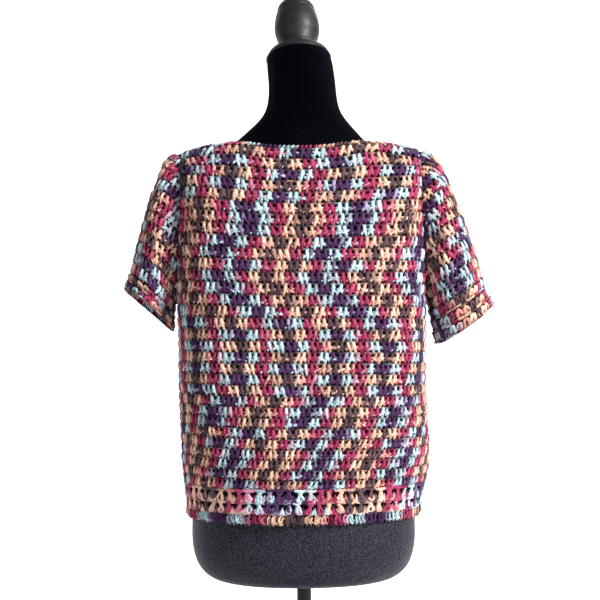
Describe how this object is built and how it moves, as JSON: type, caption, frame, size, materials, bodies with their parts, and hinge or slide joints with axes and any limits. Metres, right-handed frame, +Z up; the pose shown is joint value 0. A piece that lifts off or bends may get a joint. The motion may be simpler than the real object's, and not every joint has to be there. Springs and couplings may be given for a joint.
{
  "type": "crochet bolero cardigan on a limbless dress form",
  "caption": "Short-sleeved crochet cardigan in space-dyed yarn, worn by a limbless black dress form on a round stand.",
  "frame": {"origin": "centre of the stand base's underside", "axes": "+Z up the pole, +X to the wearer's right, +Y the way the wearer faces"},
  "size_m": [0.5152, 0.32, 1.1376],
  "materials": {
    "crochet_body": "space-dyed yarn, double crochet",
    "crochet_sleeves": "space-dyed yarn, double crochet",
    "crochet_trim": "space-dyed yarn, dense crochet",
    "form_jersey": "black jersey",
    "painted_wood": "dark satin paint",
    "black_steel": "black satin"
  },
  "bodies": {
    "root": {"back_panel": "crochet_body", "front_left": "crochet_body", "front_right": "crochet_body", "sleeve_left": "crochet_sleeves", "sleeve_right": "crochet_sleeves", "cuff_left": "crochet_trim", "cuff_right": "crochet_trim", "hem_band": "crochet_trim", "neck_edging": "crochet_trim", "form_torso": "form_jersey", "neck_cap": "painted_wood", "finial": "painted_wood", "stand_pole": "black_steel", "stand_base": "black_steel"}
  },
  "joints": []
}
